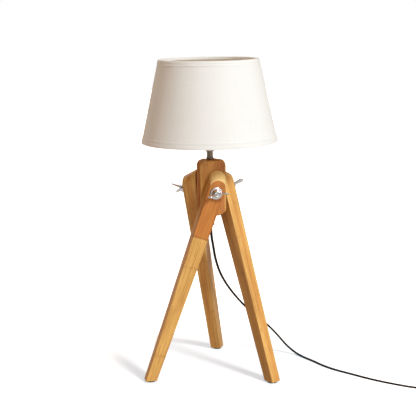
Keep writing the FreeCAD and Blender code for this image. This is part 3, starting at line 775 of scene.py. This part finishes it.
@dataclass
class Fastenings:
    """Bolts, spacers, washers and cast wing nuts on the three pivots."""

    chrome: Material
    steel: Material
    fibre: Material
    washer_seat: float = 0.0488
    washer_radius: float = 0.011
    washer_thickness: float = 0.0016
    hole_radius: float = 0.00405
    gap: float = 0.0001
    base_radius: float = 0.008
    crown_radius: float = 0.0060
    boss_height: float = 0.009
    height: float = 0.0215
    span: float = 0.0385
    lobe: float = 0.0050
    wing_thickness: float = 0.0034
    wing_twist: float = math.radians(24)
    wing_steps: int = 16
    squareness: float = 0.55
    cast_grain: float = 0.00034
    lip_radius: float = 0.0025
    lip: float = 0.0013
    nut_turns: dict[Side, float] = field(
        default_factory=lambda: {Side.FRONT: 7.5, Side.RIGHT: 140.0, Side.BACK: 34.0})

    def axis_frame(self, side: Side, seat: float, turn: float = 0.0) -> Matrix:
        """Frame at a depth on a bolt, with Z outwards along it and X to the side at no turn.

        Args:
            side: which bolt.
            seat: depth from the lamp's axis.
            turn: angle about the bolt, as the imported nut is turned.

        Returns:
            The frame's matrix.
        """
        front = Matrix(((1, 0, 0, 0), (0, 0, -1, -seat), (0, 1, 0, PIVOT_HEIGHT), (0, 0, 0, 1)))
        return Matrix.Rotation(side.turn, 4, "Z") @ front @ Matrix.Rotation(turn, 4, "Z")

    def washer(self, side: Side) -> None:
        """Pressed washer with rounded rims."""
        t = self.washer_thickness
        outline = Maker.rounded([(self.hole_radius, 0, 0.0002), (self.washer_radius, 0, 0.0002),
                                 (self.washer_radius, t, 0.0007), (self.hole_radius, t, 0.0003)])
        mesh = Maker.turned("washer", outline, self.axis_frame(side, self.washer_seat))
        Maker.piece("plated_washer_" + side.word, mesh, "leg_" + side.word, "chrome", self.chrome,
                    ["washer_" + side.word])

    def wing(self, hand: int) -> Mesh:
        """One wing: a rounded plate, thick at the root, that leans and twists outwards.

        Args:
            hand: 1 or -1, the side that it is on.

        Returns:
            A closed mesh in the nut's frame.
        """
        reach = self.span / 2 - self.lobe
        peak = self.height - self.lobe
        root = Vector((hand * self.crown_radius * 0.35, self.boss_height * 0.47))
        tip = Vector((hand * reach, peak))
        along = (tip - root).normalized()
        across = Vector((-along.y, along.x))
        rows = []
        for k in range(self.wing_steps + 1):
            t = k / self.wing_steps
            on = t * ((tip - root).length + self.lobe)
            ball = on - (tip - root).length
            wide = self.boss_height * 0.36 * (1 - t) + self.lobe * t ** 0.8
            if ball > 0:
                wide = self.lobe * math.sqrt(max(0.0, 1 - (ball / self.lobe) ** 2)) + 0.0002
            thick = self.wing_thickness * (1.15 - 0.30 * t) / 2
            lean = self.wing_twist * hand * t
            middle = root + along * on
            ring = []
            for step in range(self.wing_steps):
                x, y, _ = polar(1.0, TURN * step / self.wing_steps, 0.0)
                w = wide * math.copysign(abs(x) ** self.squareness, x)
                h = thick * math.copysign(abs(y) ** self.squareness, y)
                flat = middle + across * (w * math.cos(lean))
                ring.append(Vector((flat.x, h + w * math.sin(lean) * hand, flat.y)))
            rows.append(ring)
        return Maker.skin("wing", rows)

    def nut_mesh(self) -> Mesh:
        """Boss and wings melted together, as cast, in the nut's own frame."""
        outline = Maker.rounded([(self.hole_radius, 0.0002, 0.0004), (self.base_radius, 0.0002, 0.0006),
                                 (self.base_radius * 0.97, 0.0024, 0.0008),
                                 (self.crown_radius, self.boss_height, 0.0012),
                                 (self.lip_radius, self.boss_height, 0.0008),
                                 (self.lip_radius, self.boss_height - self.lip, 0.0),
                                 (self.hole_radius, self.boss_height - self.lip, 0.0)])
        bm = bmesh.new()
        for mesh in (Maker.turned("boss", outline, Matrix.Identity(4), 48), self.wing(1), self.wing(-1)):
            bm.from_mesh(mesh)
        obj = placed("nut", baked(bm, "nut"))
        remesh = obj.modifiers.new("cast", "REMESH")
        remesh.mode = "VOXEL"
        remesh.voxel_size = self.cast_grain
        smooth = obj.modifiers.new("file", "SMOOTH")
        smooth.factor = 0.5
        smooth.iterations = 8
        return Maker.applied(obj)

    def build(self, nodes: dict[str, Object]) -> None:
        """Make the washers and nuts and dress the bolts and spacers.

        Args:
            nodes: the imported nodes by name.
        """
        cast = self.nut_mesh()
        seat = self.washer_seat + self.washer_thickness + self.gap
        for side in Side:
            self.washer(side)
            mesh = cast.copy()
            mesh.transform(self.axis_frame(side, seat, math.radians(self.nut_turns[side])))
            Maker.piece("cast_wing_nut_" + side.word, mesh, "nut_" + side.word, "chrome", self.chrome,
                        ["wing_nut_" + side.word])
            paint(nodes["pivot_bolt_" + side.word], self.steel)
            paint(nodes["spacer_" + side.word], self.fibre)


# ---- shade


@dataclass
class ShadeCloth:
    """Tapered shade: cloth on a stiff film, with folded tape over both rims."""

    weave: Material
    tape: Material
    film: Material
    bottom_radius: float = 0.125
    top_radius: float = 0.0915
    bottom: float = 0.4375
    height: float = 0.150
    hem: float = 0.0006
    cloth: float = 0.0008
    lining: float = 0.0008
    bottom_band: float = 0.012
    top_band: float = 0.009
    fold: float = 0.005
    fold_width: float = 0.0034
    steps: int = 288
    rows: int = 48
    seam_angle: float = math.radians(118)
    seam_width: float = 0.011
    seam_lap: float = 0.00030
    wave: float = 0.00050
    ripple: float = 0.00010
    stand_off: float = 0.00012

    def radius(self, z: float) -> float:
        """Outer radius of the cloth at a height."""
        part = (z - self.bottom) / self.height
        return self.bottom_radius - self.hem + (self.top_radius - self.bottom_radius) * part

    def lie(self, angle: float, z: float) -> float:
        """How far the cloth stands off its even cone: slight waves between the rims and the lapped seam."""
        part = (z - self.bottom) / self.height
        free = math.sin(math.pi * min(max(part, 0.0), 1.0))
        broad, fine = noise.noise(polar(2.2, angle, part * 1.1)), noise.noise(polar(9.0, angle, part * 1.6 + 5.0))
        off = (angle - self.seam_angle + math.pi) % TURN - math.pi
        along = off * self.radius(z)
        lap = self.seam_lap if 0 < along < self.seam_width else 0.0
        return broad * self.wave * free + fine * self.ripple * free + lap + self.stand_off

    def cutter(self, mean: float, along: Sequence[float]) -> Callable[[int, int], Span]:
        """UV map in metres.

        Args:
            mean: radius that the length round the shade is counted at.
            along: length at each place in a row.

        Returns:
            What gives the UV of a row and a place in it.
        """
        return lambda row, place: (row / self.steps * TURN * mean, along[place % len(along)])

    def cone(self, name: str, gap: float, thickness: float, low: float, high: float, wavy: bool) -> Mesh:
        """Closed conical skin.

        Args:
            name: the mesh's name.
            gap: how far its outside lies within the cloth's outside.
            thickness: its wall.
            low: height of its lower edge.
            high: height of its upper edge.
            wavy: whether it lies as cloth does.

        Returns:
            The mesh, with its UV map in metres.
        """
        heights = [low + (high - low) * k / self.rows for k in range(self.rows + 1)]
        order = [(z, 0.0) for z in heights] + [(z, thickness) for z in reversed(heights)]
        rows = []
        for k in range(self.steps):
            angle = TURN * k / self.steps + self.seam_angle
            row = []
            for z, inset in order:
                stand = self.lie(angle, z) if wavy else 0.0
                r = self.radius(z) - gap - inset + stand
                row.append(polar(r, angle, z))
            rows.append(row)
        mean = (self.bottom_radius + self.top_radius) / 2
        tall = math.hypot(self.height, self.bottom_radius - self.top_radius) / self.height
        return Maker.skin(name, rows, loop=True, cut=self.cutter(mean, [(z - low) * tall for z, _ in order]))

    def taped(self, name: str, edge: float, way: int, band: float) -> Mesh:
        """Tape folded over a rim.

        Args:
            name: the mesh's name.
            edge: height of the rim.
            way: 1 where the tape rises from its rim, -1 where it hangs from it.
            band: how wide it is outside.

        Returns:
            The mesh, with its UV map in metres.
        """
        skin = self.cloth + self.lining
        t = self.hem
        inner = skin + self.fold_width
        path = [(-t, band), (-t, band * 0.66), (-t * 0.72, band * 0.60), (-t, band * 0.54), (-t, 0.0016),
                (-t * 0.55, 0.0004), (0.0008, 0.0),
                (inner * 0.5, -0.00005), (inner - 0.0002, 0.0001), (inner + t * 0.7, 0.0005), (inner + t, 0.0016),
                (inner + t, self.fold), (inner, self.fold), (inner, 0.0018), (inner - 0.0005, 0.0009),
                (inner * 0.5, 0.00062), (0.0006, 0.0007), (0.0, 0.0014), (0.0, band * 0.33), (0.0, band * 0.66),
                (0.0, band)]
        lengths = [0.0]
        for (a, b), (c, d) in zip(path, path[1:]):
            lengths.append(lengths[-1] + math.hypot(c - a, d - b))
        rows = []
        for k in range(self.steps):
            angle = TURN * k / self.steps + self.seam_angle
            pull, ease = noise.noise(polar(7, angle, edge * 40)), noise.noise(polar(24, angle, edge * 70))
            row = []
            for number, (inset, up) in enumerate(path):
                free = up / band
                rise = up + (pull * 0.00035 + ease * 0.00012) * free if number in (0, 1, 19, 20) else up
                z = edge + way * rise
                stand = self.lie(angle, z) * free + ease * 0.00008
                r = self.radius(edge + way * max(up, 0.0)) - inset + stand * (1 if inset <= 0 else 0)
                row.append(polar(r, angle, z))
            rows.append(row)
        return Maker.skin(name, rows, loop=True, cut=self.cutter(self.radius(edge), lengths))

    def build(self) -> None:
        """Make the cloth, the film and the two tapes."""
        top = self.bottom + self.height
        low, high = self.bottom + self.hem + 0.0002, top - self.hem - 0.0002
        for word, edge, way, band in (("bottom", self.bottom, 1, self.bottom_band), ("top", top, -1, self.top_band)):
            mesh = self.taped("tape_" + word, edge, way, band)
            Maker.piece("rim_tape_" + word, mesh, "shade", "white_tape", self.tape,
                                    ["shade_hem_" + word])
        inside = self.cone("film", self.cloth + 0.0001, self.lining - 0.0002, low, high, False)
        outside = self.cone("cloth", 0.0, self.cloth - 0.0003, low, high, True)
        film = Maker.piece("shade_film", inside, "shade", "shade_backing", self.film, ["shade_lining"])
        cloth = Maker.piece("shade_cloth", outside, "shade", "white_fabric", self.weave, ["shade_fabric"])
        slant = math.hypot(self.height, self.bottom_radius - self.top_radius)
        flare = slant / (self.bottom_radius - self.top_radius)
        outer, inner = self.bottom_radius * flare, self.top_radius * flare
        spread = math.pi * self.bottom_radius / outer
        flat = (2 * outer * math.sin(spread), outer - inner * math.cos(spread))
        area = math.pi * (self.radius(low) + self.radius(high)) * slant


# ---- cord


@dataclass
class Cord:
    """Flat two-core cord from the grip under the hub to the plug, with a put-away coil."""

    sheath: Material
    width: float = 0.005
    thickness: float = 0.0029
    waist: float = 0.86
    coil_centre: Vector = field(default_factory=lambda: Vector((461.0, -150.0, 0.0)) * MM)
    coil_inner: float = 0.021
    coil_pitch: float = 0.0063
    coil_lift: float = 0.0059
    turns_in: float = 2.5
    turns_up: float = 0.5
    turns_out: float = 2.0
    points_per_turn: int = 14
    twist: float = math.radians(70)
    twist_length: float = 0.26
    settling: float = 0.004
    flat_below: float = 0.012
    core_steps: int = 8
    exit: Vector = field(default_factory=lambda: Vector((0, 0, 281.0)) * MM)

    def free(self) -> list[tuple[float, float, float]]:
        """From the grip down behind the right leg and along the table to the switch, in millimetres."""
        return [(0, 0, 281), (0, 0, 262), (5.5, 10.5, 241), (14, 31, 208), (26.5, 43.5, 174),
                (47.5, 50, 139), (81, 55.5, 98.5), (118.5, 58.5, 67), (145, 58, 37.5),
                (161.5, 53.5, 16), (178, 41.5, 3.2), (186.5, 17, 2.5), (197.5, -9, 2.5),
                (205.5, -34.5, 2.5), (220.5, -65, 2.5), (242, -93.5, 2.5), (266.5, -129, 2.5),
                (297.5, -163.5, 2.5), (331, -194, 2.5), (351, -205, 3.5), (367, -209, 8.5),
                (382, -209, 8.5)]

    def link(self) -> list[tuple[float, float, float]]:
        """From the switch to the coil, in millimetres."""
        return [(440, -209, 8.5), (454, -209, 8.5), (471.5, -206.5, 3.2), (485, -197, 2.5),
                (494, -183, 2.5), (497.75, -168, 2.5), (497.75, -155, 2.5)]

    def tail(self) -> list[tuple[float, float, float]]:
        """From the coil to the plug, in millimetres."""
        return [(494.6, -145, 8.4), (494.6, -133, 8.4), (495.7, -120, 6.85), (495.7, -108, 6.85)]

    def coil(self) -> list[Vector]:
        """The coil's turns: in along the table, up half a turn, and out on top."""
        total = self.turns_in + self.turns_up + self.turns_out
        count = round(total * self.points_per_turn)
        points = []
        for k in range(count + 1):
            turn = k * total / count
            climb = min(max(turn - self.turns_in, 0.0), self.turns_up) / self.turns_up
            out = max(turn - self.turns_in - self.turns_up, 0.0)
            radius = self.coil_inner + self.coil_pitch * (self.turns_in - min(turn, self.turns_in) + out)
            radius /= math.cos(math.pi / self.points_per_turn) ** 0.5
            rise = self.coil_lift * (1 - math.cos(math.pi * climb)) / 2
            angle = TURN * turn
            points.append(self.coil_centre + polar(radius, angle, self.width / 2 + rise))
        return points

    def route(self) -> list[Vector]:
        """All control points from the grip to the plug, with the flat cord let down onto the table."""
        points = [Vector(p) * MM for p in (*self.free(), *self.link())]
        points += self.coil() + [Vector(p) * MM for p in self.tail()]
        drop = (self.width - self.thickness) / 2
        lowered = []
        for point in points:
            near = 1 - min(max((point.z - self.width / 2) / self.settling, 0.0), 1.0)
            lowered.append(point - Vector((0, 0, drop * near)))
        return lowered

    def line(self) -> list[Vector]:
        """Points of the smooth line, read from a NURBS spline through the route."""
        curve = bpy.data.curves.new("cord line", "CURVE")
        curve.dimensions = "3D"
        curve.resolution_u = 8
        spline = curve.splines.new("NURBS")
        route = self.route()
        spline.points.add(len(route) - 1)
        for control, point in zip(spline.points, route):
            control.co = (*point, 1.0)
        spline.order_u = 3
        spline.use_endpoint_u = True
        mesh = Maker.applied(placed("cord line", curve))
        points = [vertex.co.copy() for vertex in mesh.vertices]
        bpy.data.curves.remove(curve)
        bpy.data.meshes.remove(mesh)
        return points

    def frames(self, points: Sequence[Vector]) -> list[tuple[Vector, Vector]]:
        """Width and thickness directions along the cord: flat on the table, turned as it hangs.

        Args:
            points: the line, from the grip to the plug.

        Returns:
            For each point, the direction of the width and that of the thickness.
        """
        last = len(points) - 1
        heading = [(points[min(k + 1, last)] - points[max(k - 1, 0)]).normalized() for k in range(last + 1)]
        thick = [Vector()] * (last + 1)
        thick[last] = Vector((0, 0, 1))
        for k in range(last - 1, -1, -1):
            carried = thick[k + 1]
            if points[k].z < self.flat_below:
                carried = carried.lerp(Vector((0, 0, 1)), 0.5)
            thick[k] = (carried - heading[k] * carried.dot(heading[k])).normalized()
        frames = []
        gone = 0.0
        for k in range(last + 1):
            if k:
                gone += (points[k] - points[k - 1]).length
            share = 1 - min(gone / self.twist_length, 1.0)
            turn = Matrix.Rotation(self.twist * share * share * (3 - 2 * share), 3, heading[k])
            up = turn @ thick[k]
            frames.append((up.cross(heading[k]).normalized(), up))
        return frames

    def section(self) -> list[tuple[float, float]]:
        """Outline of the flat cord: two round cores joined side by side with a slight waist."""
        half, r = self.width / 2, self.thickness / 2
        core = half - r
        points = []
        for hand in (1, -1):
            for k in range(self.core_steps + 1):
                angle = math.pi * (k / self.core_steps - 0.5)
                points.append((hand * (core + r * math.cos(angle)), hand * r * math.sin(angle)))
            points.append((0.0, hand * r * self.waist))
        return points

    def build(self, frame: dict) -> None:
        """Args:
            frame: what the frame's loader returned, not used.
        """
        points = self.line()
        outline = self.section()
        rows = [[at + wide * w + thick * t for w, t in outline]
                for at, (wide, thick) in zip(points, self.frames(points))]
        obj = Maker.piece("flat_cord", Maker.skin("cord", rows), "stand", "black_cord", self.sheath,
                          ["cord_free", "cord_link", "cord_coil", "cord_tail"])


# ---- fittings and trim


@dataclass
class Fittings:
    """Stem, lampholder, bulb, shade frame, switch, plug and pads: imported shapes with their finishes."""

    steel: Material
    nickel: Material
    black: Material
    brass: Material
    sprig: Sprig
    ring_radius: float = 0.028
    ring_low: float = 0.4707
    ring_height: float = 0.006
    rib_count: int = 48
    rib_depth: float = 0.0006
    rib_width: float = 0.0014
    rib_share: float = 0.72
    rib_middle: float = 0.42
    rib_edge: float = 0.00022
    rib_stand: float = 0.0001

    def finishes(self) -> dict[str, Material]:
        """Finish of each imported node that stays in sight, by name."""
        powder = PowderCoat("white powder coat").build()
        rubber = MouldedPlastic("foot rubber", (0.028, 0.028, 0.028), 0.62, grain=0.0008).build()
        glass = FrostedGlass("frosted bulb glass").build()
        tin = PlatedMetal("rolled bulb cap", (0.80, 0.80, 0.79), 0.26, 0.10).build()
        ceramic = MouldedPlastic("unglazed ceramic", (0.80, 0.77, 0.71), 0.70, grain=0.0004).build()
        nylon = MouldedPlastic("natural nylon", (0.78, 0.76, 0.70), 0.42).build()
        sheath = MouldedPlastic("inner sheath", (0.02, 0.02, 0.021), 0.34).build()
        worn = ((self.steel, "stem_rod hub_washer hub_nut switch_pin switch_screws"),
                (self.nickel, "stem_sleeve stem_collar stem_lock_nut"),
                (self.black, "cord_grip holder_cap holder_shell holder_ring plug_body"),
                (self.black, "switch_base switch_cover switch_rocker"),
                (self.brass, "holder_contact bulb_tip switch_terminals plug_pins"),
                (powder, "shade_spider shade_wire_top shade_wire_bottom"), (nylon, "grip_screw"),
                (sheath, "cord_inner"), (ceramic, "holder_insert"), (glass, "bulb_glass"), (tin, "bulb_cap"),
                (rubber, "foot_pad_front foot_pad_right foot_pad_back"))
        return {name: finish for finish, names in worn for name in names.split()}

    def grip_ribs(self) -> None:
        """Finger ribs round the lampholder's ring."""
        bm = bmesh.new()
        bmesh.ops.create_cube(bm, size=1.0)
        for vertex in bm.verts:
            x, y, z = vertex.co
            vertex.co = Vector((x * self.rib_depth, y * self.rib_width, z * self.ring_height * self.rib_share))
        bmesh.ops.bevel(bm, geom=bm.edges[:], offset=self.rib_edge, segments=2, affect="EDGES")
        place = Matrix.Translation((0, 0, self.ring_low + self.ring_height * self.rib_middle))
        mesh = self.sprig.grow("ribs", baked(bm, "rib"), self.rib_count, self.ring_radius + self.rib_stand,
                               self.black, place)
        Maker.piece("holder_ring_ribs", mesh, "stand", "black_plastic", self.black)

    def build(self, nodes: dict[str, Object]) -> None:
        """Dress the nodes and add the small repeated shapes.

        Args:
            nodes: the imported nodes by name.
        """
        for name, finish in self.finishes().items():
            paint(nodes[name], finish)
        self.grip_ribs()


# ---- studio


@dataclass(frozen=True)
class Sun:
    """A distant lamp; its angles are in degrees, the azimuth from the front towards the right."""

    name: str
    azimuth: float
    elevation: float
    strength: float
    spread: float
    colour: Colour = WHITE

    def shine(self) -> None:
        """Put the lamp up."""
        data = bpy.data.lights.new(self.name, "SUN")
        data.energy = self.strength
        data.angle = math.radians(self.spread)
        data.color = self.colour
        turn, up = math.radians(self.azimuth), math.radians(self.elevation)
        to = Vector((math.sin(turn) * math.cos(up), -math.cos(turn) * math.cos(up), math.sin(up)))
        placed(self.name, data).matrix_world = to.to_track_quat("Z", "Y").to_matrix().to_4x4()


@dataclass
class Studio:
    """White table and ground, a high key light on the right, soft fill and the camera."""

    camera_at: Vector = field(default_factory=lambda: Vector((-0.3982, -1.8481, 0.6738)))
    look: Vector = field(default_factory=lambda: Vector((0.2043, 0.9608, -0.1872)))
    up: Vector = field(default_factory=lambda: Vector((0.0551, 0.1797, 0.9822)))
    lens: float = 89.88
    sensor: float = 36.0
    view_end: float = 50.0
    suns: tuple[Sun, ...] = (Sun("key", 30, 35, 2.28, 11, (0.82, 0.95, 1.0)), Sun("low fill", 18, 8, 0.42, 25),
                             Sun("back fill", 203, 28, 0.50, 30))
    fill: Colour = (0.44, 0.30, 0.19)
    roof: Span = (0.64, 0.78)
    wall: Span = (0.56, 0.70)
    gloom: float = 0.04
    ground: Colour = (0.5, 0.5, 0.5)
    ground_seen: Colour = (1.0, 0.86, 0.82)
    # table glow, a painted light: bluish round the feet, near white further off, washing out the shadow there
    ground_glow: Colour = (0.24, 0.42, 0.52)
    ground_far: Colour = (0.97, 0.97, 0.97)
    ground_fade: Span = (0.16, 0.36)
    ground_mirrored: float = 0.22
    floor_size: float = 14.0

    def camera(self) -> None:
        """The photograph's camera."""
        data = bpy.data.cameras.new("camera")
        data.lens = self.lens
        data.sensor_width = self.sensor
        data.clip_end = self.view_end
        obj = placed("camera", data)
        back = -self.look.normalized()
        right = self.up.cross(back).normalized()
        turn = Matrix((right, back.cross(right), back)).transposed().to_4x4()
        obj.matrix_world = Matrix.Translation(self.camera_at) @ turn
        bpy.context.scene.camera = obj

    @staticmethod
    def ray(g: Graph, kind: str) -> Wire:
        """1 for rays of one kind."""
        return g.add("LightPath", f"Is {kind} Ray")

    def seen(self, g: Graph) -> Wire:
        """1 where the surroundings are seen directly or through glass."""
        return self.ray(g, "Camera").maths("MAXIMUM", self.ray(g, "Transmission"))

    def world(self) -> None:
        """White surroundings for the eye, a white roof and right wall for polished metal, dim fill for the rest."""
        world = bpy.data.worlds.new("surroundings")
        bpy.context.scene.world = world
        g = Graph("surroundings", world)
        x, y, z = g.split(g.add("TexCoord", "Generated"))
        wall = (x * 0.72 - y * 0.45).rise(*self.wall)
        shown = z.rise(*self.roof).maths("MAXIMUM", wall).onto(self.gloom, 1.0)
        colour = g.blend(self.ray(g, "Glossy"), self.fill, g.join(shown, shown, shown))
        colour = g.blend(self.seen(g), colour, WHITE)
        g.add_output(g.add("Background", 0, {"Color": colour, "Strength": 1.0}), "World")

    def floor(self) -> None:
        """White table that keeps the lamp's shadow round its feet; further off, painted light washes it out."""
        mesh = bpy.data.meshes.new("table")
        half = self.floor_size / 2
        mesh.from_pydata([(-half, -half, 0), (half, -half, 0), (half, half, 0), (-half, half, 0)], [], [(0, 1, 2, 3)])
        g = Graph("white ground")
        x, y, _ = g.split(g.place())
        away = (x * x + y * y).maths("SQRT").rise(*self.ground_fade)
        seen = self.seen(g)
        shown = seen.maths("MAXIMUM", self.ray(g, "Glossy") * self.ground_mirrored)
        lit = g.add("BsdfDiffuse", "BSDF", {"Color": g.blend(seen, self.ground, self.ground_seen)})
        # painted light: the glow grows away from the lamp and washes out its shadow there
        washout_glow = g.blend(away, self.ground_glow, self.ground_far)
        glow = g.add("Emission", "Emission", {"Color": washout_glow, "Strength": shown})
        g.add_output(g.add("AddShader", 0, {0: lit, 1: glow}))
        mesh.materials.append(g.material)
        placed("table", mesh)

    def build(self) -> None:
        """Set up camera, light and ground."""
        bpy.context.scene.view_settings.view_transform = "Standard"
        self.camera()
        self.world()
        self.floor()
        for sun in self.suns:
            sun.shine()


def main() -> None:
    """Load the frame, dress the lamp and set up the studio."""
    logging.basicConfig(level=logging.INFO, format="%(message)s")
    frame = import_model()
    nodes = frame["nodes"]
    chrome = PlatedMetal("bright chrome", (0.82, 0.82, 0.83), 0.06, 0.04, turned=False).build()
    steel = PlatedMetal("zinc plated steel", (0.58, 0.56, 0.52), 0.30, 0.10).build()
    nickel = PlatedMetal("dark nickel", (0.24, 0.19, 0.145), 0.20, 0.10, dark=(0.12, 0.09, 0.06)).build()
    brass = PlatedMetal("plain brass", (0.80, 0.60, 0.28), 0.24, 0.10).build()
    black = MouldedPlastic("satin black plastic", (0.022, 0.022, 0.024), 0.42).build()
    fibre = MouldedPlastic("pressed fibre", (0.045, 0.040, 0.036), 0.75, grain=0.0009).build()
    sheath = MouldedPlastic("cord sheath", (0.005, 0.005, 0.0055), 0.45, grain=0.0012, wear=0.002,
                            shine=0.22).build()
    Studio().build()
    Cord(sheath).build(frame)
    Woodwork().dress(nodes)
    Fastenings(chrome, steel, fibre).build(nodes)
    Fittings(steel, nickel, black, brass, Sprig("ring of ribs")).build(nodes)
    ShadeCloth(PlainWeave("shade cotton", Cloth.SHADE).build(), PlainWeave("rim tape", Cloth.TAPE).build(),
               BackingFilm("cream backing film").build()).build()


if __name__ == "__main__":
    main()
